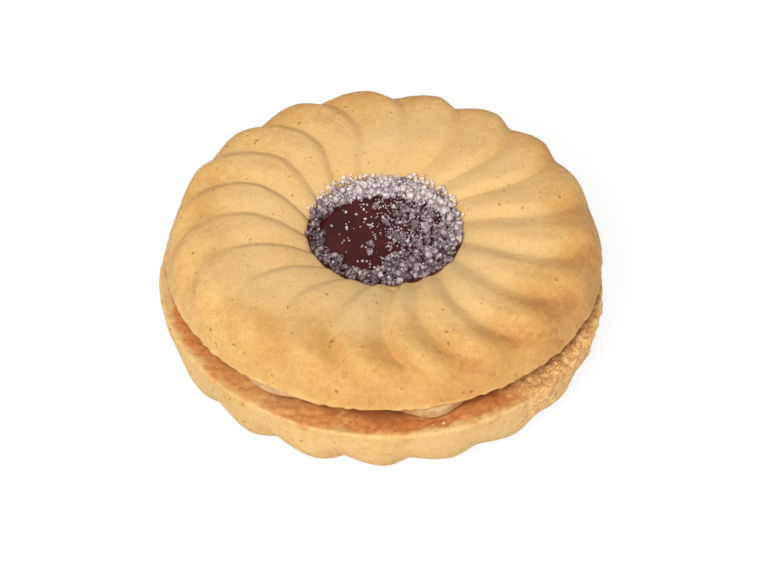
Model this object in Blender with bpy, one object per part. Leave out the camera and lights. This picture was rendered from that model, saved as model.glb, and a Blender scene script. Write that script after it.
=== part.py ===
"""Jam-filled sandwich biscuit: two swirl-fluted shells, base to base on a layer of cream.

The upper shell has a round hole, and the hole is filled with jam that carries sugar crystals.
Metres, +Z up. The origin is under the middle of the biscuit, on the surface that it lies on.
"""

import math
import random

import bmesh
import bpy
from mathutils import Euler, Matrix, Vector

MM = 0.001

# Driving dimensions
SHELL_RADIUS = 28.0 * MM
UPPER_RADIUS = 28.2 * MM
LOWER_RADIUS = 28.55 * MM
UPPER_HEIGHT = 6.8 * MM
LOWER_HEIGHT = 8.5 * MM
HOLE_RADIUS = 9.9 * MM
CREAM_GAP = 2.2 * MM
CLEARANCE = 0.3 * MM
UPPER_SHIFT = Vector((0.33 * MM, 0.9 * MM, 0.0))
LOWER_SHIFT = Vector((0.0, -0.45 * MM, 0.0))
WELD = 0.001 * MM

# Shape of a moulded shell, measured from its flat base
CREST_RADIUS = 0.66 * SHELL_RADIUS
LIP_DROP = 2.3 * MM
LIP_ROUNDING = 0.4 * MM
UPPER_SQUARENESS = 5.2
LOWER_SQUARENESS = 4.8
UPPER_DRAFT = 0.21
LOWER_DRAFT = 0.13
SHOULDER_ROWS = 9
BOWL_ROWS = 4
CREST_FLAT = 0.18 * MM
FLOOR_RADIUS = 0.8 * HOLE_RADIUS
OUT_OF_ROUND = ((1, -0.003, -0.35), (2, -0.002, 0.2))

# Swirl of the flutes
FLUTES = 19
FLUTE_COLUMNS = (0.0, 0.12, 0.3, 0.55, 0.8)
LOBE_CREST = 0.3
LOBE_FULLNESS = 0.8
GROOVE_AT_LIP = 0.35 * MM
GROOVE_AT_CREST = 0.8 * MM
GROOVE_AT_SHOULDER = 1.2 * MM
GROOVE_ON_SIDE = 0.15
GROOVE_FADE = (0.3, 0.88)
SWIRL_INNER = math.radians(130)
SWIRL_OUTER = math.radians(70)
STRAIGHTEST_RADIUS = 0.62 * SHELL_RADIUS
UPPER_CREASE = math.radians(99.5)
LOWER_CREASE = math.radians(267.5)

# Cream between the shells
CREAM_RADIUS = 24.9 * MM
CREAM_POINTS = 72
CREAM_WAVES = ((5, 0.25 * MM, 0.4), (9, 0.15 * MM, 2.0))
CREAM_LUMPS = ((243, 9, 2.2 * MM), (284, 12, 2.2 * MM), (95, 14, 1.6 * MM), (178, 10, 1.3 * MM))

# Jam in the hole
JAM_RIM_HEIGHT = 4.1 * MM
JAM_CROWN = 0.6 * MM
JAM_SEGMENTS = 36
JAM_RINGS = (0.96, 0.82, 0.6, 0.3)
CRYSTALS = 120
CRYSTAL_SIZE = (0.75 * MM, 1.05 * MM)
CRYSTAL_GAP = 0.1 * MM
CRYSTAL_LIFT = 0.18
CRYSTAL_SEED = 7
SPIRAL_PLACES = 420
SPIRAL_JITTER = 0.1
SUGARED_EDGE = 0.78
BARE_SIDE = 0.15
BARE_SLANT = 0.4
RIM_MARGIN = 0.75 * CRYSTAL_SIZE[1]
SUGAR_ON_EDGE = 0.95
SUGAR_ON_RIGHT = 0.45
SUGAR_ON_LEFT = 0.08

MATERIALS = {
    "baked_shell": ((0.80, 0.55, 0.27), 0.75),
    "cream": ((0.88, 0.80, 0.63), 0.55),
    "sugared_jam": ((0.16, 0.03, 0.03), 0.3),
}


def clear_scene():
    for obj in list(bpy.data.objects):
        bpy.data.objects.remove(obj, do_unlink=True)


def new_collection(name):
    collection = bpy.data.collections.new(name)
    bpy.context.scene.collection.children.link(collection)
    return collection


def material(name):
    """A Principled BSDF with the colour and roughness listed for this name."""
    made = bpy.data.materials.get(name)
    if made:
        return made
    colour, roughness = MATERIALS[name]
    made = bpy.data.materials.new(name)
    made.use_nodes = True
    shader = made.node_tree.nodes["Principled BSDF"]
    shader.inputs["Base Color"].default_value = (*colour, 1.0)
    shader.inputs["Roughness"].default_value = roughness
    shader.inputs["Metallic"].default_value = 0.0
    return made


def new_object(name, bm, collection, finish):
    """A mesh object from a bmesh, with its faces turned outwards."""
    bmesh.ops.recalc_face_normals(bm, faces=bm.faces)
    mesh = bpy.data.meshes.new(name)
    bm.to_mesh(mesh)
    bm.free()
    mesh.materials.append(material(finish))
    obj = bpy.data.objects.new(name, mesh)
    collection.objects.link(obj)
    return obj


def smoothstep(x):
    x = min(max(x, 0.0), 1.0)
    return x * x * (3 - 2 * x)


def fluted_profile(inner_radius, foot_radius, shell_height, squareness, draft):
    """(radius, height) from the inner edge over the crest to the foot of the side.

    The bowl is a parabola that rises from the lip to the crest. The shoulder is a quarter of a
    superellipse from the crest down to the base, and it leans inwards by the mould's draft.
    """
    points = []
    for row in range(BOWL_ROWS):
        share = row / BOWL_ROWS
        radius = inner_radius + (CREST_RADIUS - inner_radius) * share
        points.append((radius, shell_height - LIP_DROP * (1 - share) ** 2))
    width = foot_radius - CREST_RADIUS
    power = 2 / squareness
    for row in range(SHOULDER_ROWS + 1):
        angle = math.pi / 2 * (1 - row / SHOULDER_ROWS)
        reach = max(math.cos(angle), 0.0) ** power
        height = shell_height * math.sin(angle) ** power
        points.append((CREST_RADIUS + (width - draft * height) * reach, height))
    return points


def groove_depth(radius, height_share):
    """How deep a crease is cut at this place of the profile: shallow at the lip, deepest on the
    shoulder, nearly gone on the side and gone at its foot."""
    if radius < CREST_RADIUS:
        share = smoothstep((radius - HOLE_RADIUS) / (CREST_RADIUS - HOLE_RADIUS))
        return GROOVE_AT_LIP + (GROOVE_AT_CREST - GROOVE_AT_LIP) * share
    out = smoothstep((radius - CREST_RADIUS) / (SHELL_RADIUS - CREST_RADIUS))
    low, high = GROOVE_FADE
    fade = GROOVE_ON_SIDE * smoothstep(height_share / low)
    fade += (1 - GROOVE_ON_SIDE) * smoothstep((height_share - low) / (high - low))
    return (GROOVE_AT_CREST + (GROOVE_AT_SHOULDER - GROOVE_AT_CREST) * out) * fade


def lobe(t):
    """Height of a lobe, 0 in the creases at t = 0 and 1, and 1 on its crest. It rises steeply and
    falls gently."""
    share = t / LOBE_CREST if t < LOBE_CREST else (1 - t) / (1 - LOBE_CREST)
    return math.sin(math.pi / 2 * share) ** LOBE_FULLNESS


def swirl(radius):
    """How far a crease has turned at this radius: it leans the same way inside and outside its
    straightest place."""
    offset = (max(radius, HOLE_RADIUS) - STRAIGHTEST_RADIUS) / SHELL_RADIUS
    return (SWIRL_INNER if offset < 0 else SWIRL_OUTER) * offset**2


def out_of_round(angle):
    return 1 + sum(size * math.cos(waves * angle + lag) for waves, size, lag in OUT_OF_ROUND)


def sunk_along_normal(profile, row, shell_height, t):
    """The profile's point at this row, moved inwards along the profile's normal by what the
    groove takes at place t of the flute. The tops of the lobes are flattened a little."""
    radius, height = profile[row]
    before = profile[max(row - 1, 0)]
    after = profile[min(row + 1, len(profile) - 1)]
    along = Vector((after[0] - before[0], after[1] - before[1])).normalized()
    sink = groove_depth(radius, height / shell_height) * (1 - lobe(t))
    return (
        radius + along.y * sink,
        min(height - along.x * sink, shell_height - CREST_FLAT),
    )


def swirl_shell(
    name, collection, first_crease, foot_radius, shell_height, squareness, draft, with_hole
):
    """A moulded shell, base at z = 0 and flutes upwards.

    The outline is spun into plain columns, a few to a flute. Each column then turns to its place
    in its flute and follows the swirl, and its fluted rows sink by the depth of the groove.
    """
    lip_height = shell_height - LIP_DROP
    if with_hole:
        plain = [(HOLE_RADIUS, 0.0), (HOLE_RADIUS, lip_height - LIP_ROUNDING - GROOVE_AT_LIP)]
        inner_radius = HOLE_RADIUS + LIP_ROUNDING
    else:
        floor = lip_height - GROOVE_AT_LIP
        plain = [(0.0, 0.0), (0.0, floor), (FLOOR_RADIUS, floor)]
        inner_radius = HOLE_RADIUS
    profile = fluted_profile(inner_radius, foot_radius, shell_height, squareness, draft)
    outline = plain + profile
    columns = FLUTES * len(FLUTE_COLUMNS)

    bm = bmesh.new()
    row_of = bm.verts.layers.int.new("row")
    ring = [bm.verts.new((radius, 0, height)) for radius, height in outline]
    for row, vertex in enumerate(ring):
        vertex[row_of] = row
    edges = [bm.edges.new((ring[i], ring[(i + 1) % len(ring)])) for i in range(len(ring))]
    bmesh.ops.spin(
        bm,
        geom=ring + edges,
        cent=(0, 0, 0),
        axis=(0, 0, 1),
        angle=2 * math.pi,
        steps=columns,
        use_merge=True,
    )
    for vertex in bm.verts:
        row = vertex[row_of]
        radius, height = outline[row]
        column = round(math.atan2(vertex.co.y, vertex.co.x) / (2 * math.pi) * columns) % columns
        flute, place = divmod(column, len(FLUTE_COLUMNS))
        t = FLUTE_COLUMNS[place]
        angle = (flute + t) * 2 * math.pi / FLUTES + swirl(radius) + first_crease
        if row >= len(plain):
            radius, height = sunk_along_normal(profile, row - len(plain), shell_height, t)
            radius *= out_of_round(angle)
        vertex.co = (radius * math.cos(angle), radius * math.sin(angle), height)
    bmesh.ops.remove_doubles(bm, verts=bm.verts, dist=WELD)
    return new_object(name, bm, collection, "baked_shell")


def cream_layer(name, collection):
    """A flat layer with a wavy edge that bulges out at its lumps, with the clearance above and
    below it."""
    low = LOWER_HEIGHT - CREST_FLAT + CLEARANCE
    high = low + CREAM_GAP - 2 * CLEARANCE
    bm = bmesh.new()
    rim = bmesh.ops.create_circle(bm, cap_ends=True, radius=CREAM_RADIUS, segments=CREAM_POINTS)
    for vertex in rim["verts"]:
        angle = math.atan2(vertex.co.y, vertex.co.x)
        radius = CREAM_RADIUS
        radius += sum(size * math.cos(waves * angle + lag) for waves, size, lag in CREAM_WAVES)
        for centre, width, reach in CREAM_LUMPS:
            away = (math.degrees(angle) - centre + 180) % 360 - 180
            radius += reach * math.exp(-((away / width) ** 2))
        vertex.co = (radius * math.cos(angle), radius * math.sin(angle), low)
    grown = bmesh.ops.extrude_face_region(bm, geom=bm.faces[:])
    lifted = [item for item in grown["geom"] if isinstance(item, bmesh.types.BMVert)]
    bmesh.ops.translate(bm, verts=lifted, vec=(0, 0, high - low))
    return new_object(name, bm, collection, "cream")


def jam_surface(radius, jam_radius, rim_height):
    """Height of the jam: a shallow dome over the hole."""
    return rim_height + JAM_CROWN * (1 - (radius / jam_radius) ** 2)


def sugar_places(jam_radius):
    """Where the largest crystals lie: a sunflower spiral, thinned where the jam shows bare, which
    is its left half inside the sugared edge."""
    chance = random.Random(CRYSTAL_SEED)
    golden = math.pi * (3 - math.sqrt(5))
    edge = jam_radius - RIM_MARGIN
    places = []
    for number in range(SPIRAL_PLACES, 0, -1):
        radius = edge * math.sqrt(number / SPIRAL_PLACES)
        radius += chance.uniform(-SPIRAL_JITTER, SPIRAL_JITTER) * MM
        angle = number * golden + chance.uniform(-SPIRAL_JITTER, SPIRAL_JITTER)
        x = radius * math.cos(angle)
        y = radius * math.sin(angle)
        if radius > SUGARED_EDGE * edge:
            wanted = SUGAR_ON_EDGE
        elif x - BARE_SLANT * y > BARE_SIDE * edge:
            wanted = SUGAR_ON_RIGHT
        else:
            wanted = SUGAR_ON_LEFT
        if chance.random() > wanted or len(places) >= CRYSTALS:
            continue
        size = chance.uniform(*CRYSTAL_SIZE)
        if all(math.hypot(x - a, y - b) > (size + c) / 2 + CRYSTAL_GAP for a, b, c in places):
            places.append((x, y, size))
    return places


def sugared_jam(name, collection, rim_height, jam_radius):
    """Jam that fills the hole from the cream up to its dome, with the sugar crystals fused on."""
    bm = bmesh.new()
    profile = [(0.0, 0.0), (jam_radius, 0.0), (jam_radius, rim_height)]
    profile += [
        (share * jam_radius, jam_surface(share * jam_radius, jam_radius, rim_height))
        for share in JAM_RINGS
    ]
    profile.append((0.0, jam_surface(0.0, jam_radius, rim_height)))
    points = [bm.verts.new((radius, 0, height)) for radius, height in profile]
    edges = [bm.edges.new(pair) for pair in zip(points, points[1:])]
    bmesh.ops.spin(
        bm,
        geom=points + edges,
        cent=(0, 0, 0),
        axis=(0, 0, 1),
        angle=2 * math.pi,
        steps=JAM_SEGMENTS,
        use_merge=True,
    )
    bmesh.ops.remove_doubles(bm, verts=bm.verts, dist=WELD)
    jam = new_object(name, bm, collection, "sugared_jam")

    sugar = new_collection("sugar")
    chance = random.Random(CRYSTAL_SEED + 1)
    for number, (x, y, size) in enumerate(sugar_places(jam_radius)):
        grain = bmesh.new()
        bmesh.ops.create_cube(grain, size=size)
        turn = Euler([chance.uniform(0, math.pi / 2) for _ in range(3)]).to_matrix().to_4x4()
        height = jam_surface(math.hypot(x, y), jam_radius, rim_height) + CRYSTAL_LIFT * size
        placed = Matrix.Translation((x, y, height)) @ turn
        bmesh.ops.transform(grain, matrix=placed, verts=grain.verts)
        new_object(f"crystal_{number}", grain, sugar, "sugared_jam")

    join = jam.modifiers.new("sugar", "BOOLEAN")
    join.operation = "UNION"
    join.operand_type = "COLLECTION"
    join.collection = sugar
    join.solver = "EXACT"
    bpy.context.view_layer.update()
    graph = bpy.context.evaluated_depsgraph_get()
    joined = bpy.data.meshes.new_from_object(jam.evaluated_get(graph))
    jam.modifiers.clear()
    jam.data = joined
    for crystal in list(sugar.objects):
        bpy.data.objects.remove(crystal, do_unlink=True)
    bpy.data.collections.remove(sugar)
    return jam


def main():
    clear_scene()
    biscuit = new_collection("jam_sandwich_biscuit")
    lower_base = LOWER_HEIGHT - CREST_FLAT
    upper_base = lower_base + CREAM_GAP

    lower = swirl_shell(
        "lower_biscuit", biscuit, -LOWER_CREASE,
        LOWER_RADIUS, LOWER_HEIGHT, LOWER_SQUARENESS, LOWER_DRAFT, with_hole=False,
    )
    lower.rotation_euler = (math.pi, 0, 0)
    lower.location = LOWER_SHIFT + Vector((0, 0, lower_base))

    upper = swirl_shell(
        "upper_biscuit", biscuit, UPPER_CREASE,
        UPPER_RADIUS, UPPER_HEIGHT, UPPER_SQUARENESS, UPPER_DRAFT, with_hole=True,
    )
    upper.location = UPPER_SHIFT + Vector((0, 0, upper_base))

    cream_layer("cream", biscuit)

    jam = sugared_jam("sugared_jam", biscuit, JAM_RIM_HEIGHT, HOLE_RADIUS - CLEARANCE)
    jam.location = UPPER_SHIFT + Vector((0, 0, upper_base))


main()
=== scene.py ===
import math

import bmesh
import bpy
import numpy as np
from mathutils import Matrix, Vector


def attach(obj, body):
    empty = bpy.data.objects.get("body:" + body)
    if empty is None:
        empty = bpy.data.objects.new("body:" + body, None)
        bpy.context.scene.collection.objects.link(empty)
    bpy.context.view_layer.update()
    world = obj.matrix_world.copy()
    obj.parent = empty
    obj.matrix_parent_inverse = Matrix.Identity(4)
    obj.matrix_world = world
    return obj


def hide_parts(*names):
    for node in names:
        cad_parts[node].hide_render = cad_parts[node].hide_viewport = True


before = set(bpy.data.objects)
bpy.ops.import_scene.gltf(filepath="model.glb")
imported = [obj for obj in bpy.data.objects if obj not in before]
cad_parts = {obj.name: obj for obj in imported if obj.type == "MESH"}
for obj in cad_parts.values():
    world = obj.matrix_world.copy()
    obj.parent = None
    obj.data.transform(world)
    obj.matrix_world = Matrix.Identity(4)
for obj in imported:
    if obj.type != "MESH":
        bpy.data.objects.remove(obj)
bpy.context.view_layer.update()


# ---- Lower biscuit -------------------------------------------------------------------------
# A solid shortcrust shell, pressed in a fluted mould and baked on its flat side, so that side
# is browned. It is turned over: the browned base faces up and the flutes face down.

MM = 0.001
SHELL_RADIUS = 28.0 * MM
CREST_RADIUS = 0.66 * SHELL_RADIUS
HOLE_RADIUS = 9.9 * MM
LIP_DROP = 2.3 * MM
LIP_ROUNDING = 0.4 * MM
DIMPLE_DROP = 0.3 * MM
CREST_FLAT = 0.18 * MM
CREST_EASE = 0.1 * MM
EDGE_ROUNDING = 0.35 * MM
FLUTES = 19
FLUTE_TURN = 2 * math.pi / FLUTES
COLUMNS_PER_FLUTE = 40
CREASE_JITTER = math.radians(0.6)
CREASE_TWIST = math.radians(4)
FRONT_RIGHT = 318
LEFT = 190
BOWL_GROOVE = (0.35, 0.8)
SHOULDER_GROOVE = (0.8, 1.2)
LOWER_RADIUS = 28.55 * MM
LOWER_HEIGHT = 8.5 * MM
LOWER_SQUARENESS = 4.8
LOWER_DRAFT = 0.13
LOWER_BASE = LOWER_HEIGHT - CREST_FLAT
LOWER_SHIFT = np.array((0.0, -0.45, 0.0)) * MM
LOWER_CREASE = math.radians(267.5)


def srgb(red, green, blue):
    """A colour as a screen shows it, 0 to 255, made linear: the sRGB curve, with alpha 1."""
    shown = np.array((red, green, blue)) / 255
    linear = np.where(shown <= 0.04045, shown / 12.92, ((shown + 0.055) / 1.055) ** 2.4)
    return (*(float(value) for value in linear), 1.0)


def smoothstep(x, low=0.0, high=1.0):
    """0 below low, 1 above high, and a cubic ease between them."""
    x = np.clip((x - low) / (high - low), 0.0, 1.0)
    return x * x * (3 - 2 * x)


def uneven(points, size, seed):
    """Smooth random values from -1 to 1: a random number on each corner of a cubic lattice of
    this size, eased across each cell along its three sides."""
    scaled = points / size + 31.7 * seed + 100.0
    corner = np.floor(scaled).astype(np.int64)
    inside = scaled - corner
    inside = inside * inside * (3 - 2 * inside)
    total = np.zeros(points.shape[:-1])
    for step in np.ndindex(2, 2, 2):
        cell = corner + np.array(step)
        key = (cell[..., 0] * 73856093) ^ (cell[..., 1] * 19349663) ^ (cell[..., 2] * 83492791)
        key = (key ^ (seed * 668265263)) & 0xFFFFFFFF
        key = ((key ^ (key >> 15)) * 2246822519) & 0xFFFFFFFF
        key = ((key ^ (key >> 13)) * 3266489917) & 0xFFFFFFFF
        value = ((key ^ (key >> 16)) & 0xFFFF) / 32767.5 - 1
        share = np.where(np.array(step) == 1, inside, 1 - inside)
        total += value * share[..., 0] * share[..., 1] * share[..., 2]
    return total


def relief(points, *layers):
    """Unevenness in metres, summed over layers of (height, lattice size, seed) in millimetres."""
    return sum(height * MM * uneven(points, size * MM, seed) for height, size, seed in layers)


def bell(angle, centre, width):
    """A bell round the biscuit, 1 at its centre and 1/e a width away, both in degrees."""
    away = (np.degrees(angle) - centre + 180) % 360 - 180
    return np.exp(-((away / width) ** 2))


def facing(angle, centre, low, high):
    """An eased share of the way from one cosine to another of the angle from this azimuth."""
    return smoothstep(np.cos(angle - math.radians(centre)), low, high)


def by_azimuth(angle, table):
    """The columns of a table of (azimuth in degrees, value, ...) rows, linear between its rows
    and closed round the biscuit."""
    places, *columns = np.array(table).T
    return [np.interp(np.degrees(angle), places, column, period=360) for column in columns]


def crease_turn(radius):
    """How far a crease has turned at this radius, in radians: a square law on both sides of its
    straightest place, strong towards the hole and weak towards the rim."""
    straightest, inner_turn, outer_turn = 0.62, math.radians(130), math.radians(70)
    offset = np.maximum(radius, HOLE_RADIUS) / SHELL_RADIUS - straightest
    return np.where(offset < 0, inner_turn, outer_turn) * offset**2


def lobe_height(t, softness):
    """Height across one flute, 0 in the creases at t = 0 and 1: two quarters of a sine that meet
    on the crest, each raised to a power. The lobe rises steeply and falls gently, less so where
    it is soft."""
    crest = 0.36 + 0.08 * softness
    rising, falling = 1.4 + 0.35 * softness, 1.1 + 0.5 * softness
    share = np.where(t < crest, t / crest, (1 - t) / (1 - crest))
    return np.sin(math.pi / 2 * share) ** np.where(t < crest, rising, falling)


def groove_depth(radius, height_share):
    """Depth of a crease: shallow at the lip, deepest on the shoulder, nearly gone on the side.
    Each part eases between two depths, and the outer one fades in two steps up the side."""
    at_lip, at_crest = BOWL_GROOVE
    bowl = at_lip + (at_crest - at_lip) * smoothstep(radius, HOLE_RADIUS, CREST_RADIUS)
    inner, outer = SHOULDER_GROOVE
    shoulder = inner + (outer - inner) * smoothstep(radius, CREST_RADIUS, SHELL_RADIUS)
    fade = 0.15 * smoothstep(height_share, 0.0, 0.3) + 0.85 * smoothstep(height_share, 0.3, 0.88)
    return np.where(radius < CREST_RADIUS, bowl, shoulder * fade) * MM


def shell_outline(foot_radius, shell_height, squareness, draft, with_hole, spacing):
    """One radial cut as (radius, height) rows, from the middle of the base outwards, round the
    base's edge, up the side, over the crest and into the bowl.

    The side and shoulder are a quarter of a superellipse that leans inwards by the mould's draft,
    and the bowl is a parabola. The dense line is then sampled again with the given spacing of
    its rows, as (share of the length, millimetres) pairs.
    """
    lip = shell_height - LIP_DROP
    start = HOLE_RADIUS if with_hole else 0.0
    foot = foot_radius - draft * EDGE_ROUNDING
    base = np.linspace((start, 0), (foot - EDGE_ROUNDING, 0), 400)
    turn = np.linspace(0, math.pi / 2, 60)[1:]
    edge = np.stack((
        foot - EDGE_ROUNDING * (1 - np.sin(turn)),
        EDGE_ROUNDING * (1 - np.cos(turn)),
    ), axis=1)
    turn = np.linspace(0, math.pi / 2, 3000)[1:-1]
    reach = np.cos(turn) ** (2 / squareness)
    height = shell_height * np.sin(turn) ** (2 / squareness)
    side = np.stack((
        CREST_RADIUS + (foot_radius - CREST_RADIUS - draft * height) * reach, height,
    ), axis=1)
    side = side[side[:, 1] > EDGE_ROUNDING]
    inner = HOLE_RADIUS + (LIP_ROUNDING if with_hole else 0.0)
    share = np.linspace(1, 0, 300)
    bowl = np.stack((
        inner + (CREST_RADIUS - inner) * share,
        shell_height - LIP_DROP * (1 - share) ** 2,
    ), axis=1)
    if with_hole:
        turn = np.linspace(0, math.pi / 2, 40)[1:]
        rounding = np.stack((
            inner - LIP_ROUNDING * np.sin(turn), lip - LIP_ROUNDING * (1 - np.cos(turn)),
        ), axis=1)
        wall = np.linspace((HOLE_RADIUS, lip - LIP_ROUNDING), (HOLE_RADIUS, 0), 200)[1:-1]
        rest = np.concatenate((rounding, wall))
    else:
        share = np.linspace(0, 1, 200)[1:]
        dimple = lip - DIMPLE_DROP * smoothstep(share, 0.0, 0.3)
        rest = np.stack((HOLE_RADIUS * (1 - share), dimple), axis=1)
    line = np.concatenate((base, edge, side, bowl, rest))
    length = np.concatenate(([0], np.cumsum(np.hypot(*np.diff(line, axis=0).T))))
    places, gaps = np.array(spacing).T
    gap = np.interp(length / length[-1], places, gaps * MM)
    density = np.cumsum(1 / gap * np.gradient(length))
    rows = np.interp(np.linspace(density[0], density[-1], int(density[-1])), density, length)
    return np.stack([np.interp(rows, length, line[:, axis]) for axis in (0, 1)], axis=1)


def moulded_shell(line, shell_height, first_crease, azimuth_of, drift, grooves, swell, seed):
    """The shell as a grid of points, one row for each place on the cut and one column for each
    step round it, base at height 0, with its normals and the height of its lobes, 0 to 1.

    Each column keeps its place in its flute and turns with the creases. A point sinks along the
    cut's normal by the depth of the groove times what the lobe lacks of full height. Creases
    differ a little from one another in place and depth, and drift back at the front right.
    Round the shell, grooves gives (azimuth in degrees, how deep they are pressed in the bowl, on
    the shoulder and on the flank), and swell (azimuth in degrees, millimetres outwards).
    """
    radius, height = line[:, 0][:, None], line[:, 1][:, None]
    tangent = np.gradient(line, axis=0)
    tangent /= np.hypot(*tangent.T)[:, None]
    out, up = tangent[:, 1][:, None], -tangent[:, 0][:, None]

    # Columns crowd towards the creases. Each crease has its own place and depth.
    place = np.arange(FLUTES * COLUMNS_PER_FLUTE) / COLUMNS_PER_FLUTE
    flute = place.astype(int)
    after = (flute + 1) % FLUTES
    t = place - flute
    t = t - 0.5 * np.sin(2 * math.pi * t) / (2 * math.pi)
    chance = np.random.default_rng(seed)
    crease = azimuth_of(np.arange(FLUTES) * FLUTE_TURN + first_crease)
    moved = chance.uniform(-CREASE_JITTER, CREASE_JITTER, FLUTES)
    moved = moved - drift * facing(crease, FRONT_RIGHT, 0.5, 1.0)
    strength = chance.uniform(0.86, 1.12, FLUTES)
    angle = (flute + t) * FLUTE_TURN + first_crease + moved[flute] * (1 - t) + moved[after] * t
    angle = angle[None, :] + crease_turn(radius)
    twisting = smoothstep(radius, 0.6 * SHELL_RADIUS, 0.92 * SHELL_RADIUS)
    angle = angle + CREASE_TWIST * facing(azimuth_of(angle), 140, 0.5, 0.95) * twisting

    # The lobes are soft at the front right and on the left shoulder, and all round the grooves
    # are pressed as deep as their table says.
    around = azimuth_of(angle)
    softness = facing(around, FRONT_RIGHT, 0.35, 0.92)
    outside = smoothstep(radius, 0.7 * SHELL_RADIUS, 0.86 * SHELL_RADIUS)
    softness = softness + (1 - softness) * facing(around, LEFT, 0.2, 0.8) * outside
    in_bowl, on_shoulder, on_flank = by_azimuth(around, grooves)
    outer = smoothstep(radius, 0.62 * SHELL_RADIUS, 0.75 * SHELL_RADIUS)
    flank = smoothstep(radius, 0.88 * SHELL_RADIUS, 0.97 * SHELL_RADIUS)
    pressed = in_bowl * (1 - outer) + on_shoulder * outer * (1 - flank) + on_flank * flank
    depth = strength[flute] + (strength[after] - strength[flute]) * smoothstep(t)

    # The top sinks between the lobes. The base, the hole's wall and the dimple stay smooth.
    lobe = lobe_height(t[None, :], softness) + 0 * angle
    fluted = (height > 0.02 * shell_height) & (out > -0.9)
    fluted = fluted * smoothstep(radius, 0.55 * HOLE_RADIUS, HOLE_RADIUS)
    sink = fluted * groove_depth(radius, height / shell_height) * depth * pressed * (1 - lobe)
    swollen = by_azimuth(around, swell)[0]
    swollen = swollen * smoothstep(radius, 0.5 * SHELL_RADIUS, 0.9 * SHELL_RADIUS)
    radius = radius - out * sink + swollen * MM
    height = height - up * sink

    # The crests are flattened, eased over a short way.
    eased_from = shell_height - CREST_FLAT - CREST_EASE
    over = np.maximum(height - eased_from, 0.0)
    height = np.minimum(height, eased_from) + CREST_EASE * (1 - np.exp(-over / CREST_EASE))
    points = np.stack((radius * np.cos(angle), radius * np.sin(angle), height), axis=-1)
    normals = np.stack((out * np.cos(angle), out * np.sin(angle), up + 0 * angle), axis=-1)
    return points, normals, lobe


def new_mesh(name, points, corners, sizes, values):
    """An object of its own mesh, from its points, the corners of its faces one after another and
    the number of corners of each face. Values become point attributes."""
    mesh = bpy.data.meshes.new(name)
    mesh.vertices.add(len(points))
    mesh.vertices.foreach_set("co", points.astype(np.float32).ravel())
    mesh.loops.add(len(corners))
    mesh.loops.foreach_set("vertex_index", corners.astype(np.int32))
    mesh.polygons.add(len(sizes))
    mesh.polygons.foreach_set("loop_start", (np.cumsum(sizes) - sizes).astype(np.int32))
    mesh.update(calc_edges=True)
    mesh.validate()
    for key, data in values.items():
        stored = mesh.attributes.new(key, "FLOAT", "POINT").data
        stored.foreach_set("value", data.astype(np.float32))
    made = bpy.data.objects.new(name, mesh)
    bpy.context.scene.collection.objects.link(made)
    return made


def ring_mesh(name, points, values, closed_cut=False):
    """A smooth object from a grid of points, closed round its columns. Its cut is closed onto its
    first row, or else its first and last rows close on a pole."""
    rows, columns = points.shape[:2]
    index = np.arange(rows * columns).reshape(rows, columns)
    index = np.concatenate((index, index[:, :1]), axis=1)
    if closed_cut:
        index = np.concatenate((index, index[:1]), axis=0)
    quads = np.stack((index[:-1, :-1], index[:-1, 1:], index[1:, 1:], index[1:, :-1]), axis=-1)
    quads = quads.reshape(-1, 4)
    flat = points.reshape(-1, 3)
    fans = np.zeros((0, 3), int)
    if not closed_cut:
        first, last = len(flat), len(flat) + 1
        flat = np.concatenate((flat, points[0].mean(0)[None], points[-1].mean(0)[None]))
        fans = np.concatenate((
            np.stack((np.full(columns, first), index[0, 1:], index[0, :-1]), axis=-1),
            np.stack((np.full(columns, last), index[-1, :-1], index[-1, 1:]), axis=-1),
        ))
        values = {
            key: np.concatenate((grid.ravel(), (grid[0].mean(), grid[-1].mean())))
            for key, grid in values.items()
        }
    corners = np.concatenate((quads.ravel(), fans.ravel()))
    sizes = np.repeat((4, 3), (len(quads), len(fans)))
    values = {key: grid.ravel() for key, grid in values.items()}
    made = new_mesh(name, flat, corners, sizes, values)
    made.data.shade_smooth()
    return made


def put(tree, kind, inputs=None, **settings):
    """A shader node with its settings, whose inputs are values or the sockets linked to them."""
    made = tree.nodes.new(kind)
    for key, value in settings.items():
        setattr(made, key, value)
    for key, value in (inputs or {}).items():
        if isinstance(value, bpy.types.NodeSocket):
            tree.links.new(value, made.inputs[key])
        else:
            made.inputs[key].default_value = value
    return made


def noise(tree, where, per_mm, detail=2.0, roughness=0.5):
    """A noise pattern of this many features a millimetre."""
    return put(tree, "ShaderNodeTexNoise", {
        "Vector": where, "Scale": per_mm / MM, "Detail": detail, "Roughness": roughness,
    }).outputs["Fac"]


def ramp(tree, factor, stops):
    """A colour ramp through (place, colour) stops."""
    made = put(tree, "ShaderNodeValToRGB", {"Fac": factor})
    elements = made.color_ramp.elements
    while len(elements) < len(stops):
        elements.new(0.5)
    for element, (place, colour) in zip(elements, stops):
        element.position = place
        element.color = colour
    return made.outputs["Color"]


def blend(tree, factor, low, high, kind="MIX"):
    """Two colours mixed by a factor."""
    made = put(tree, "ShaderNodeMix", {"Factor": factor}, data_type="RGBA", blend_type=kind)
    for socket, value in ((made.inputs[6], low), (made.inputs[7], high)):
        if isinstance(value, bpy.types.NodeSocket):
            tree.links.new(value, socket)
        else:
            socket.default_value = value
    return made.outputs[2]


def weighted(tree, terms, start=0.0):
    """A start value plus the sum of (value, weight) terms."""
    for value, weight in terms:
        inputs = {0: value, 1: weight, 2: start}
        start = put(tree, "ShaderNodeMath", inputs, operation="MULTIPLY_ADD").outputs[0]
    return start


def spread(tree, value, low, high, to_low=0.0, to_high=1.0):
    """A value eased from one range to another, and held at its ends."""
    return put(tree, "ShaderNodeMapRange", {
        "Value": value, "From Min": low, "From Max": high, "To Min": to_low, "To Max": to_high,
    }, interpolation_type="SMOOTHSTEP").outputs["Result"]


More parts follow.
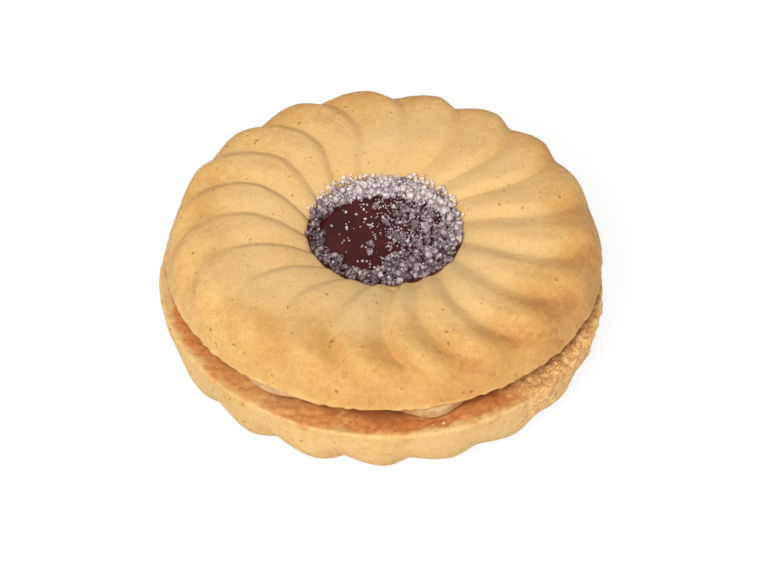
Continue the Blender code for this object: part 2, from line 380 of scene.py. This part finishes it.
def attribute(tree, name):
    """A value that the mesh stores at its points."""
    return put(tree, "ShaderNodeAttribute", attribute_name=name).outputs["Fac"]


def new_material(name, **constants):
    """A material with its node tree, its Principled BSDF, whose sockets take the constants, and
    its Object coordinates."""
    made = bpy.data.materials.new(name)
    made.use_nodes = True
    tree = made.node_tree
    shader = tree.nodes["Principled BSDF"]
    for key, value in constants.items():
        shader.inputs[key.replace("_", " ")].default_value = value
    where = put(tree, "ShaderNodeTexCoord").outputs["Object"]
    return made, tree, shader, where


def finish_surface(tree, shader, colour, height, strength, depth):
    """Links the colour, and a bump of this strength and depth from the height pattern."""
    tree.links.new(colour, shader.inputs["Base Color"])
    bump = put(tree, "ShaderNodeBump", {"Height": height, "Strength": strength, "Distance": depth})
    tree.links.new(bump.outputs["Normal"], shader.inputs["Normal"])


def baked_crust():
    """Shortcrust: pale where it is thick, orange where it is thin or high, brown on its base,
    with rough crumb where the margin has broken, bran specks, pale flecks and a fine grain.
    The stored value that drives the pale and the brown holds painted shade and painted light as
    well as browning."""
    made, tree, shader, where = new_material("baked_crust", Specular_IOR_Level=0.3)
    bake_and_shade = attribute(tree, "bake_and_shade")
    patches = noise(tree, where, 0.16, 3.0)
    mottle = noise(tree, where, 1.1, 4.0, 0.6)
    grain = noise(tree, where, 4.0, 3.0, 0.6)

    shade = weighted(tree, ((bake_and_shade, 1.0), (patches, 0.7), (mottle, 0.65)), start=-0.675)
    pale = ramp(tree, shade, (
        (0.0, srgb(205, 172, 116)), (0.3, srgb(207, 168, 108)), (0.6, srgb(195, 150, 86)),
        (0.85, srgb(188, 136, 74)), (1.0, srgb(176, 120, 64)),
    ))
    brown = ramp(tree, weighted(tree, ((mottle, 0.7), (patches, 0.3))), (
        (0.32, srgb(170, 94, 46)), (0.5, srgb(205, 128, 64)), (0.68, srgb(232, 166, 92)),
    ))
    # Darker brown where the stored value is high: on the lower base this is painted shade.
    brown = blend(tree, bake_and_shade, brown, srgb(148, 88, 46))
    crumb = ramp(tree, weighted(tree, ((grain, 0.35), (mottle, 0.65))), (
        (0.34, srgb(164, 110, 58)), (0.5, srgb(210, 160, 98)), (0.68, srgb(240, 204, 144)),
    ))
    colour = blend(tree, attribute(tree, "crust"), pale, brown)
    colour = blend(tree, attribute(tree, "broken"), colour, crumb)
    fine = ramp(tree, grain, ((0.3, (0.86, 0.84, 0.80, 1)), (0.7, (1.1, 1.1, 1.1, 1))))
    colour = blend(tree, 0.6, colour, fine, "MULTIPLY")
    bran = (1.4, 0.68, 0.8, 0.85, srgb(142, 96, 48))
    freckles = (3.0, 0.64, 0.8, 0.55, srgb(150, 104, 56))
    pale_flecks = (2.3, 0.25, 0.22, 0.22, srgb(252, 222, 178))
    for per_mm, low, high, strength, tint in (bran, freckles, pale_flecks):
        spots = spread(tree, noise(tree, where, per_mm, 1.0), low, high, 0.0, strength)
        colour = blend(tree, spots, colour, tint)

    tree.links.new(spread(tree, mottle, 0.3, 0.7, 0.62, 0.82), shader.inputs["Roughness"])
    pores = weighted(tree, ((grain, 0.5), (mottle, 1.0)))
    finish_surface(tree, shader, colour, pores, 0.35, 0.12 * MM)
    return made


crust_material = baked_crust()

outline = shell_outline(LOWER_RADIUS, LOWER_HEIGHT, LOWER_SQUARENESS, LOWER_DRAFT, False, (
    (0.0, 1.8), (0.35, 1.2), (0.37, 0.23), (0.52, 0.23), (0.72, 0.38), (0.86, 0.6), (1.0, 1.0),
))
LOWER_GROOVES = (
    (0, 1, 1, 0.9), (150, 1, 1, 1), (262, 1, 1, 1), (282, 1, 0.9, 0.8), (300, 1, 0.8, 0.5),
    (322, 1, 0.9, 0.65),
)
LOWER_SWELL = (
    (10, -0.1), (60, 0), (185, 0.15), (205, 0), (225, -0.05), (250, 0.1),
    (272, 0.35), (290, 0.45), (308, 0.4), (322, 0.4), (335, 0.3), (350, 0),
)
points, normals, _ = moulded_shell(
    outline[1:-1], LOWER_HEIGHT, first_crease=-LOWER_CREASE, azimuth_of=lambda angle: -angle,
    drift=0.0, grooves=LOWER_GROOVES, swell=LOWER_SWELL, seed=11,
)
points = points * (1, -1, -1) + (0, 0, LOWER_BASE) + LOWER_SHIFT
normals = normals * (1, -1, -1)
azimuth = np.arctan2(points[..., 1], points[..., 0])
reach = np.hypot(points[..., 0] - LOWER_SHIFT[0], points[..., 1] - LOWER_SHIFT[1])
drop = LOWER_BASE - points[..., 2]

# The rough margin at the right, where the edge has crumbled, in clods that stand upright.
ragged = uneven(points, 1.6 * MM, 3)
broken = facing(azimuth, 336, math.cos(math.radians(34)), math.cos(math.radians(20)))
broken *= smoothstep(reach, 24.0 * MM, 25.2 * MM)
broken *= smoothstep(drop + 1.2 * MM * ragged, 6.0 * MM, 3.0 * MM)
clods = relief(points * (1, 1, 0.45), (0.5, 1.5, 4), (0.35, 0.8, 10))
clods += relief(points, (0.15, 0.45, 5))
on_base = smoothstep(drop, 1.2 * MM, 0.2 * MM)
lift = relief(points, (0.16, 7, 1), (0.05, 2.2, 2), (0.018, 0.6, 6))
lift += on_base * relief(points, (0.1, 0.8, 7), (0.12, 2.4, 9))
lift += broken * (0.65 * clods - 0.2 * MM * on_base)
lift *= smoothstep(points[..., 2], 0.0, 0.8 * MM)
points = points + normals * lift[..., None]

# The browned base stops in a frayed line short of the edge, further in where pale_edge is wide.
# Its brown carries painted shade: darker by azimuth and towards the gap under the upper shell,
# with less painted shade at the left, where the brown is also paler.
frayed = 0.8 * MM * ragged + relief(points, (0.5, 0.6, 8))
pale_edge, = by_azimuth(azimuth, (
    (185, 0.9), (205, 0.65), (235, 0.4), (255, 0.0), (300, 0.1), (330, 0.8),
))
brown_radius = LOWER_RADIUS - pale_edge * MM
crust = smoothstep(reach + frayed, brown_radius + 0.3 * MM, brown_radius - 0.7 * MM)
crust *= smoothstep(drop + 0.6 * frayed, 0.9 * MM, 0.2 * MM)
paler_at_left = bell(azimuth, 236, 20)
crust *= 1 - 0.3 * paler_at_left
# Painted shade: the brown darkens by azimuth and towards the gap under the upper shell.
painted_shade, = by_azimuth(azimuth, (
    (160, 0), (200, 0.1), (225, 0.28), (245, 0.08),
    (270, 0.28), (300, 0.36), (325, 0.22), (350, 0.3),
))
painted_shade += 0.35 * (1 - 0.7 * paler_at_left) * smoothstep(reach, 26.6 * MM, 25.2 * MM)
painted_shade += 0.35 * bell(azimuth, 262, 15) * smoothstep(reach, 26.2 * MM, 25.2 * MM)
bake_and_shade = 0.33 + 0.24 * smoothstep(drop, 4.0 * MM, LOWER_HEIGHT) * smoothstep(reach, 19 * MM, 25 * MM)
# On the brown base the painted shade takes the place of the stored bake value.
bake_and_shade += (painted_shade - bake_and_shade) * crust
lower = ring_mesh("lower_shell", points, {"bake_and_shade": bake_and_shade, "crust": crust, "broken": broken})
lower.data.materials.append(crust_material)
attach(lower, "root")
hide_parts("lower_biscuit")


# ---- Cream ---------------------------------------------------------------------------------
# A thin layer of soft cream, spread between the two flat sides, that holds the shells together.
# Pressed, it has bulged out to the edge in two places at the front, and elsewhere it stays back.

CREAM_GAP = 2.2 * MM
UPPER_BASE = LOWER_BASE + CREAM_GAP
CREAM_RADIUS = 24.4 * MM
CREAM_OVERLAP = 0.05 * MM
CREAM_COLUMNS = 540
CREAM_ROWS = 28


def soft_cream():
    """Cream, darkened from off-white to tan by painted shade from the gap between the shells:
    satin, slightly uneven.
    """
    made, tree, shader, where = new_material("soft_cream", Roughness=0.48)
    tone = noise(tree, where, 0.9, 3.0)
    colour = ramp(tree, tone, (
        (0.3, srgb(160, 120, 74)), (0.55, srgb(178, 138, 90)), (0.75, srgb(196, 158, 108)),
    ))
    finish_surface(tree, shader, colour, tone, 0.3, 0.15 * MM)
    return made


angle = np.arange(CREAM_COLUMNS) / CREAM_COLUMNS * 2 * math.pi
level = np.linspace(-1, 1, CREAM_ROWS)[:, None]
edge = 0.25 * np.cos(5 * angle + 0.4) + 0.15 * np.cos(9 * angle + 2.0)
edge = edge + 1.6 * bell(angle, 95, 14) + 1.3 * bell(angle, 178, 10)
edge = edge + 3.0 * bell(angle, 240, 15) * smoothstep(level, -0.3, 0.5)
edge += 3.0 * bell(angle, 285, 10) * smoothstep(level, -1.4, -0.2)
edge = CREAM_RADIUS + (edge - 0.45 * np.abs(level) ** 5) * MM
height = LOWER_BASE + CREAM_GAP / 2 + level * (CREAM_GAP / 2 + CREAM_OVERLAP) + 0 * angle
skin = np.stack((edge * np.cos(angle), edge * np.sin(angle), height), axis=-1)
skin[..., :2] *= 1 + (0.004 * uneven(skin, 1.5 * MM, 21))[..., None]
inner = np.linspace(0.02, 0.93, 6)[:, None, None]
low_face = skin[:1] * (1, 1, 0) * inner + (0, 0, float(height[0, 0]))
high_face = skin[-1:] * (1, 1, 0) * inner[::-1] + (0, 0, float(height[-1, 0]))
cream = ring_mesh("cream_filling", np.concatenate((low_face, skin, high_face)), {})
cream.data.materials.append(soft_cream())
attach(cream, "root")
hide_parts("cream")


# ---- Upper biscuit -------------------------------------------------------------------------
# The same shortcrust shell with a round hole cut through its middle, right way up, browned
# towards its rim and most at the outer ends of its valleys.

UPPER_RADIUS = 28.2 * MM
UPPER_HEIGHT = 6.8 * MM
UPPER_SQUARENESS = 5.2
UPPER_DRAFT = 0.21
UPPER_SHIFT = np.array((0.33, 0.9, 0.0)) * MM
UPPER_CREASE = math.radians(99.5)

outline = shell_outline(UPPER_RADIUS, UPPER_HEIGHT, UPPER_SQUARENESS, UPPER_DRAFT, True, (
    (0.0, 1.6), (0.30, 1.2), (0.36, 0.3), (0.42, 0.24), (0.85, 0.24), (0.9, 0.4), (1.0, 0.9),
))
UPPER_GROOVES = (
    (0, 1.2, 1.0, 1), (40, 1.3, 1.1, 1), (70, 0.85, 0.9, 1), (95, 0.9, 1.05, 1), (120, 1.1, 1.0, 1),
    (160, 1.1, 0.95, 1.2), (195, 1.0, 0.65, 1), (215, 0.8, 0.45, 0.9), (245, 1.1, 0.9, 0.9),
    (265, 1.5, 1.35, 0.9), (290, 1.4, 1.3, 1), (320, 1.3, 1.35, 1), (345, 1.25, 1.15, 1),
)
UPPER_SWELL = (
    (0, -0.2), (35, -0.15), (60, -0.05), (90, 0), (120, 0),
    (145, -0.2), (180, -0.1), (220, 0), (300, 0),
)
points, normals, lobes = moulded_shell(
    outline, UPPER_HEIGHT, first_crease=UPPER_CREASE, azimuth_of=lambda angle: angle,
    drift=math.radians(6), grooves=UPPER_GROOVES, swell=UPPER_SWELL, seed=5,
)
points = points + (0, 0, UPPER_BASE) + UPPER_SHIFT
azimuth = np.arctan2(points[..., 1] - UPPER_SHIFT[1], points[..., 0] - UPPER_SHIFT[0])
reach = np.hypot(points[..., 0] - UPPER_SHIFT[0], points[..., 1] - UPPER_SHIFT[1])
rise = points[..., 2] - UPPER_BASE

# Long waves, fine grain, and a rough foot where the dough spread against the baking sheet.
foot = smoothstep(reach, 0.96 * UPPER_RADIUS, 0.985 * UPPER_RADIUS)
foot *= smoothstep(rise, 0.9 * MM, 0.0)
lift = relief(points, (0.14, 6, 31), (0.06, 2.2, 32), (0.03, 1.1, 37), (0.018, 0.6, 33))
lift += foot * relief(points, (0.15, 0.7, 34), (0.14, 1.8, 35))
lift *= smoothstep(reach, HOLE_RADIUS, HOLE_RADIUS + 0.6 * MM)
points = points + normals * lift[..., None]

# Browner towards the rim, most of all at the front, and pale again along the foot. Painted shade
# darkens the back rim and the right front rim, and adds to browning in the valleys' outer ends,
# most at the front. Painted light makes the near bowl and the left rim paler.
near = facing(azimuth, 285, -0.1, 0.9)
rim = smoothstep(reach + relief(points, (2.5, 5, 38)), 0.5 * SHELL_RADIUS, SHELL_RADIUS)
# Painted light on the near bowl, painted shade on the back rim.
bake_and_shade = 0.19 - 0.1 * near + rim * (0.37 + 0.18 * near + 0.12 * facing(azimuth, 90, 0.3, 0.9))
# Painted light: the left rim is paler.
bake_and_shade -= 0.08 * rim * facing(azimuth, LEFT, 0.3, 0.9)
# Painted shade: the right front rim is darker.
bake_and_shade += 0.16 * rim**2 * facing(azimuth, FRONT_RIGHT, 0.1, 0.9)
valley = (1 - lobes) * smoothstep(reach, 0.72 * SHELL_RADIUS, 0.86 * SHELL_RADIUS)
valley *= smoothstep(rise, 2.5 * MM, 4.5 * MM)
# Partly browning, partly painted shade: the valleys' outer ends are darker, most at the front.
bake_and_shade += valley * (0.05 + 0.21 * near)
bake_and_shade -= 0.3 * smoothstep(rise + relief(points, (0.3, 1.0, 39)), 0.9 * MM, 0.3 * MM)
crust = smoothstep(0.25 * MM - rise + relief(points, (0.2, 1.2, 36)), 0.0, 0.3 * MM)
values = {"bake_and_shade": bake_and_shade, "crust": crust, "broken": 0 * bake_and_shade}
upper = ring_mesh("upper_shell", points, values, closed_cut=True)
upper.data.materials.append(crust_material)
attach(upper, "root")
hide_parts("upper_biscuit")


# ---- Jam -----------------------------------------------------------------------------------
# Dark red jam that was dropped hot into the hole and has set: it wets the wall all round and
# stands in a shallow dome with a glossy skin.

JAM_RIM_HEIGHT = 4.1 * MM
JAM_CROWN = 0.6 * MM
JAM_RADIUS = HOLE_RADIUS + 0.06 * MM
JAM_COLUMNS = 240


def jam_level(radius):
    """Height of the jam over the upper shell's base: a dome, raised a little at the wall."""
    share = np.clip(radius / JAM_RADIUS, 0, 1)
    return JAM_RIM_HEIGHT + JAM_CROWN * (1 - share**2) + 0.12 * MM * smoothstep(share, 0.93, 1.0)


def set_jam():
    """Jam: nearly black-red and glossy, a little redder in patches, with faint lumps."""
    made, tree, shader, where = new_material("set_jam", Roughness=0.16, Specular_IOR_Level=0.2)
    colour = ramp(tree, noise(tree, where, 0.35, 3.0), (
        (0.3, srgb(54, 17, 17)), (0.55, srgb(65, 21, 20)), (0.75, srgb(76, 25, 23)),
    ))
    finish_surface(tree, shader, colour, noise(tree, where, 0.7), 0.3, 0.2 * MM)
    return made


share = np.linspace(1, 0.02, 46)[:, None]
angle = np.arange(JAM_COLUMNS) / JAM_COLUMNS * 2 * math.pi
radius = JAM_RADIUS * share + 0 * angle
top = np.stack((radius * np.cos(angle), radius * np.sin(angle), jam_level(radius)), axis=-1)
top[..., 2] += relief(top, (0.06, 2.6, 41)) * smoothstep(share, 1.0, 0.9)
wall = top[:1] * np.array([(1, 1, level) for level in np.linspace(0, 1, 9)[:-1]])[:, None]
floor = top[:1] * (1, 1, 0) * np.linspace(0.05, 0.95, 6)[:, None, None]
jam_points = np.concatenate((floor, wall, top)) + (0, 0, UPPER_BASE) + UPPER_SHIFT
jam = ring_mesh("jam_dome", jam_points, {})
jam.data.materials.append(set_jam())
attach(jam, "root")
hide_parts("sugared_jam")


# ---- Sugar ---------------------------------------------------------------------------------
# Granulated sugar strewn over the jam while it was tacky: a thick ring along the wall that
# climbs the far lip, a dense fine drift over the right half, and stray grains on the left.

COARSE = (0.50, 0.85)
FINE = (0.12, 0.32)
LAYER_STEP = 0.25 * MM
LIFTED_GRAIN = 0.6
PILED_SHARE = 0.35
LIP_GROWTH = 0.7


def as_template(shape):
    """The points and triangles of a bmesh, which is then freed."""
    points = np.array([vertex.co for vertex in shape.verts])
    faces = np.array([[vertex.index for vertex in face.verts] for face in shape.faces])
    shape.free()
    return points, faces


def block_template():
    """A cube one unit across with its edges and corners cut off, from its 24 corners."""
    cut = 0.66
    corners = {
        tuple(sign * value for sign, value in zip(signs, place))
        for signs in ((a, b, c) for a in (-1, 1) for b in (-1, 1) for c in (-1, 1))
        for place in ((1, cut, cut), (cut, 1, cut), (cut, cut, 1))
    }
    shape = bmesh.new()
    for corner in sorted(corners):
        shape.verts.new(Vector(corner) * 0.5)
    bmesh.ops.convex_hull(shape, input=shape.verts)
    bmesh.ops.recalc_face_normals(shape, faces=shape.faces)
    shape.verts.index_update()
    return as_template(shape)


def random_turns(count, chance):
    """Rotation matrices spread evenly over all directions, from random unit quaternions."""
    q = chance.normal(size=(count, 4))
    q /= np.linalg.norm(q, axis=1)[:, None]
    w, x, y, z = q.T
    return np.stack((
        np.stack((1 - 2 * (y * y + z * z), 2 * (x * y - z * w), 2 * (x * z + y * w)), axis=-1),
        np.stack((2 * (x * y + z * w), 1 - 2 * (x * x + z * z), 2 * (y * z - x * w)), axis=-1),
        np.stack((2 * (x * z - y * w), 2 * (y * z + x * w), 1 - 2 * (x * x + y * y)), axis=-1),
    ), axis=1)


def scattered(name, template, centres, sizes, chance, values, uneven_by=0.08):
    """One mesh of many small bodies: the template stretched, turned and moved for each centre.
    A tone among the values gets painted light: lighter on the upper side of each body, darker at
    its foot, and uneven over it, its random corner tones standing in for glints."""
    corners, faces = template
    count = len(centres)
    stretch = chance.uniform(0.78, 1.18, (count, 1, 3)) * sizes[:, None, None]
    bodies = corners[None] * (1 + chance.uniform(-uneven_by, uneven_by, (count, len(corners), 1)))
    bodies = np.einsum("nij,nkj->nki", random_turns(count, chance), bodies * stretch)
    up = (bodies[..., 2] / sizes[:, None]).ravel()
    values = {key: np.repeat(data, len(corners)) for key, data in values.items()}
    if "tone" in values:
        # Painted light: each grain lighter on top and darker at its foot, with corner tones as
        # glints.
        values["tone"] = values["tone"] + 0.15 * up + chance.uniform(-0.3, 0.3, len(up))
    all_faces = faces[None] + (np.arange(count) * len(corners))[:, None, None]
    points = (bodies + centres[:, None, :]).reshape(-1, 3)
    return new_mesh(name, points, all_faces.ravel(), np.full(count * len(faces), 3), values)


def honeycomb(radius, pitch, chance):
    """Places on a disc in staggered rows of this pitch, each moved a little at random."""
    count = int(radius / pitch) + 2
    row, column = np.mgrid[-count:count + 1, -count:count + 1]
    x = (column + 0.5 * (row % 2)) * pitch
    y = row * pitch * math.sqrt(3) / 2
    places = np.stack((x, y), axis=-1).reshape(-1, 2)
    places = places + chance.uniform(-0.33, 0.33, places.shape) * pitch
    return places[np.hypot(*places.T) < radius]


def sugar_cover(places):
    """(share covered by coarse grains, share covered by fine ones, how white the grains are) at
    these places: the ring, the heap at the lower right, the drift on the right, the bare left."""
    x, y = places.T / JAM_RADIUS
    away = np.hypot(x, y)
    spots = np.concatenate((places, np.zeros((len(places), 1))), axis=1)
    wander = uneven(spots, 1.7 * MM, 51)
    patchy = uneven(spots, 0.9 * MM, 52)
    far = smoothstep(y, 0.2, 0.7)
    right = smoothstep(x, 0.2, 0.8) * smoothstep(y, -0.45, 0.0)
    open_jam = away < 0.9

    inner_edge = 0.80 - 0.16 * far + 0.08 * wander + 0.04 * patchy
    ring = smoothstep(away, inner_edge - 0.03, inner_edge + 0.03) * smoothstep(away, 1.0, 0.97)
    heap = smoothstep(x + 0.12 * wander, 0.0, 0.12) * smoothstep(-y + 0.1 * wander, 0.38, 0.5)
    heap = heap * (away < 0.96)
    drift = smoothstep(x + 0.3 * wander + 0.2 * patchy, -0.45, 0.5) * smoothstep(away, 1.0, 0.96)
    froth = far * smoothstep(away, 0.95, 1.0) * smoothstep(away, 1.12, 1.02)
    left_gap = smoothstep(-x, 0.5, 0.8) * smoothstep(patchy, 0.0, 0.5)

    coarse = np.maximum(ring * (0.92 - 0.45 * left_gap), 0.8 * heap)
    coarse = np.maximum(coarse, 0.42 * drift**3 + 0.012 * open_jam)
    fine = np.maximum(0.62 * drift + 0.3 * patchy * drift, 0.03 * open_jam)
    fine = np.maximum(fine, (0.3 + 0.4 * far) * ring) + froth * (0.7 + 0.4 * patchy)

    piled = 0.25 + 0.58 * far - 0.12 * smoothstep(-x, 0.3, 0.7) + 0.25 * right
    scarce = 0.33 + 0.12 * right + 0.25 * (1 - drift) * open_jam
    return coarse, fine, np.where((ring < 0.5) & (heap < 0.5), scarce, piled)


def lip_level(radius):
    """Height of the upper shell's bowl near the hole, over its base."""
    share = np.clip((radius - HOLE_RADIUS) / (CREST_RADIUS - HOLE_RADIUS), 0, 1)
    sunk = 0.12 * MM
    return UPPER_HEIGHT - LIP_DROP * (1 - share) ** 2 - sunk


def on_surface(places, lift):
    """The places with the height of the jam or of the lip under them, and a lift."""
    away = np.hypot(*places.T)
    level = np.where(away < JAM_RADIUS - 0.1 * MM, jam_level(away), lip_level(away))
    return np.column_stack((places, level + lift)) + (0, 0, UPPER_BASE) + UPPER_SHIFT


def sugar_crystal():
    """Clear sugar over dark jam: the jam's colour inside a clear grain, painted shade at its foot,
    painted light on its high facets, painted glints in spots of noise, and peach where it lies
    on the biscuit."""
    made, tree, shader, where = new_material(
        "sugar_crystal", Roughness=0.3, IOR=1.5, Transmission_Weight=0.15,
        Subsurface_Weight=0.8, Subsurface_Radius=(1.0, 0.9, 0.9), Subsurface_Scale=0.6 * MM,
    )
    cloud = noise(tree, where, 3.2, 1.0)
    # Painted glints: bright spots from a fine noise.
    painted_glint = spread(tree, noise(tree, where, 6.5, 1.0), 0.56, 0.66, 0.0, 0.22)
    tone = attribute(tree, "tone")
    light = weighted(tree, ((tone, 1.0), (cloud, 0.7), (painted_glint, 1.0)), start=-0.35)
    over_jam = ramp(tree, light, (
        (0.0, srgb(62, 36, 40)), (0.25, srgb(90, 68, 72)), (0.5, srgb(126, 108, 114)),
        (0.75, srgb(168, 151, 152)), (1.0, srgb(212, 196, 193)),
    ))
    over_crust = ramp(tree, light, (
        (0.1, srgb(224, 188, 158)), (0.6, srgb(236, 206, 182)), (1.0, srgb(244, 226, 214)),
    ))
    colour = blend(tree, attribute(tree, "warm"), over_jam, over_crust)
    tree.links.new(colour, shader.inputs["Base Color"])
    return made


# Two layers of each kind on a honeycomb of the given pitch. How high they lie is given for a
# grain of 0.6 mm and goes with a grain's size. A share of the upper layer lies where coarse
# grains are piled up, away from the wall. Grains on the lip are larger.
crystal_material = sugar_crystal()
block = block_template()
chance = np.random.default_rng(61)
for name, size_range, pitch, layers, piled, whiter in (
    ("sugar_coarse", COARSE, 0.62 * MM, (0.16, 0.5), 0.6, 0.0),
    ("sugar_fine", FINE, 0.3 * MM, (0.2, 0.6), 0.45, 0.15),
):
    centres, sizes, warm, tone = [], [], [], []
    for layer, lift in enumerate(layers):
        places = honeycomb(1.12 * JAM_RADIUS, pitch, chance)
        coarse_share, fine_share, white = sugar_cover(places)
        wanted = coarse_share if name == "sugar_coarse" else fine_share
        if layer > 0:
            off_wall = np.hypot(*places.T) < 0.92 * JAM_RADIUS
            wanted = PILED_SHARE * wanted * (coarse_share > piled) * off_wall
        kept = chance.random(len(places)) < wanted
        places = places[kept]
        tone.append(np.clip(chance.normal(white[kept] + whiter + 0.25 * layer, 0.16), 0, 1))
        on_lip = smoothstep(np.hypot(*places.T), 0.98 * JAM_RADIUS, 1.04 * JAM_RADIUS)
        size = chance.uniform(*size_range, len(places)) * MM * (1 + LIP_GROWTH * on_lip)
        centres.append(on_surface(places, lift * size / LIFTED_GRAIN + layer * LAYER_STEP))
        sizes.append(size)
        warm.append(on_lip)
    values = {"tone": np.concatenate(tone), "warm": np.concatenate(warm)}
    sugar = scattered(name, block, np.concatenate(centres), np.concatenate(sizes), chance, values)
    sugar.data.materials.append(crystal_material)
    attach(sugar, "root")


# ---- Crumbs --------------------------------------------------------------------------------
# Loose crumbs of the shortcrust, broken off the lower shell's rim. They lie on its rough
# margin at the right.

def loose_crumb():
    """Broken crumb: pale to toasted, rough."""
    made, tree, shader, where = new_material("loose_crumb", Roughness=0.8)
    tone = noise(tree, where, 1.4, 3.0, 0.6)
    colour = ramp(tree, tone, (
        (0.35, srgb(178, 118, 64)), (0.5, srgb(208, 154, 94)), (0.65, srgb(234, 194, 138)),
    ))
    finish_surface(tree, shader, colour, tone, 0.5, 0.1 * MM)
    return made


lump = bmesh.new()
bmesh.ops.create_icosphere(lump, subdivisions=2, radius=0.5)
chance = np.random.default_rng(71)
angle = np.radians(np.concatenate((chance.normal(333, 9, 60), chance.uniform(285, 345, 3))))
reach = chance.uniform(25.6, 27.7, len(angle)) * MM
height = 0 * angle + LOWER_BASE + 0.05 * MM
centres = np.stack((reach * np.cos(angle), reach * np.sin(angle), height), axis=-1) + LOWER_SHIFT
sizes = chance.uniform(0.2, 0.65, len(centres)) ** 1.3 * MM
crumbs = scattered("loose_crumbs", as_template(lump), centres, sizes, chance, {}, uneven_by=0.16)
crumbs.data.materials.append(loose_crumb())
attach(crumbs, "root")


# ---- Floor, light and camera ---------------------------------------------------------------
# A white sweep that curves up all round, lit evenly from above with a soft key from the front
# and a faint fill from the right, and a long lens that looks down on the biscuit.

SWEEP_RADIUS = 1.6
SWEEP_RISE = 0.7
SWEEP_COLUMNS = 96
LAMP_DISTANCE = 0.9
CAMERA_ELEVATION = math.radians(42.76)
CAMERA_DISTANCE = 0.3976
CAMERA_TILT = math.radians(0.581)
CAMERA_ROLL = math.radians(0.44)
CAMERA_LENS = 145.0

share = np.linspace(0.01, 1, 60)[:, None]
angle = np.arange(SWEEP_COLUMNS) / SWEEP_COLUMNS * 2 * math.pi
radius = SWEEP_RADIUS * share + 0 * angle
rise = SWEEP_RISE * smoothstep(share, 0.55, 1.0) ** 2 + 0 * angle
sheet = np.stack((radius * np.cos(angle), radius * np.sin(angle), rise), axis=-1)
under = (sheet * (1.01, 1.01, 1) - (0, 0, 0.02))[::-1]
sweep = ring_mesh("floor_sweep", np.concatenate((sheet, under))[::-1], {})
paper, *_ = new_material(
    "white_sweep", Base_Color=(0.12, 0.12, 0.12, 1), Roughness=0.9, Specular_IOR_Level=0.0,
    Emission_Color=(1, 1, 1, 1), Emission_Strength=0.87,
)
sweep.data.materials.append(paper)

scene = bpy.context.scene
world = bpy.data.worlds.new("even_light")
world.use_nodes = True
sky = world.node_tree.nodes["Background"]
sky.inputs["Color"].default_value = (1, 1, 1, 1)
sky.inputs["Strength"].default_value = 0.5
scene.world = world


def softbox(name, azimuth, elevation, size, watts):
    """A square area light that faces the biscuit."""
    data = bpy.data.lights.new(name, "AREA")
    data.shape = "SQUARE"
    data.size = size
    data.energy = watts
    lamp = bpy.data.objects.new(name, data)
    a, e = math.radians(azimuth), math.radians(elevation)
    place = Vector((math.cos(a) * math.cos(e), math.sin(a) * math.cos(e), math.sin(e)))
    lamp.location = place * LAMP_DISTANCE
    lamp.rotation_euler = place.to_track_quat("Z", "Y").to_euler()
    scene.collection.objects.link(lamp)


softbox("key", 252, 46, 0.35, 8.0)
softbox("fill", 325, 15, 0.5, 0.9)

lens = bpy.data.cameras.new("camera")
lens.sensor_width = 36
lens.lens = CAMERA_LENS
lens.clip_start = 0.01
camera = bpy.data.objects.new("camera", lens)
centre = Vector((UPPER_SHIFT[0] - 0.06 * MM, UPPER_SHIFT[1] - 0.2 * MM, UPPER_BASE))
sight = Vector((0, math.cos(CAMERA_ELEVATION), -math.sin(CAMERA_ELEVATION)))
pitch = CAMERA_ELEVATION + CAMERA_TILT
turned = Matrix.Rotation(math.pi / 2 - pitch, 4, "X") @ Matrix.Rotation(CAMERA_ROLL, 4, "Z")
turned.translation = centre - sight * CAMERA_DISTANCE
camera.matrix_world = turned
scene.collection.objects.link(camera)
scene.camera = camera
scene.view_settings.view_transform = "Standard"
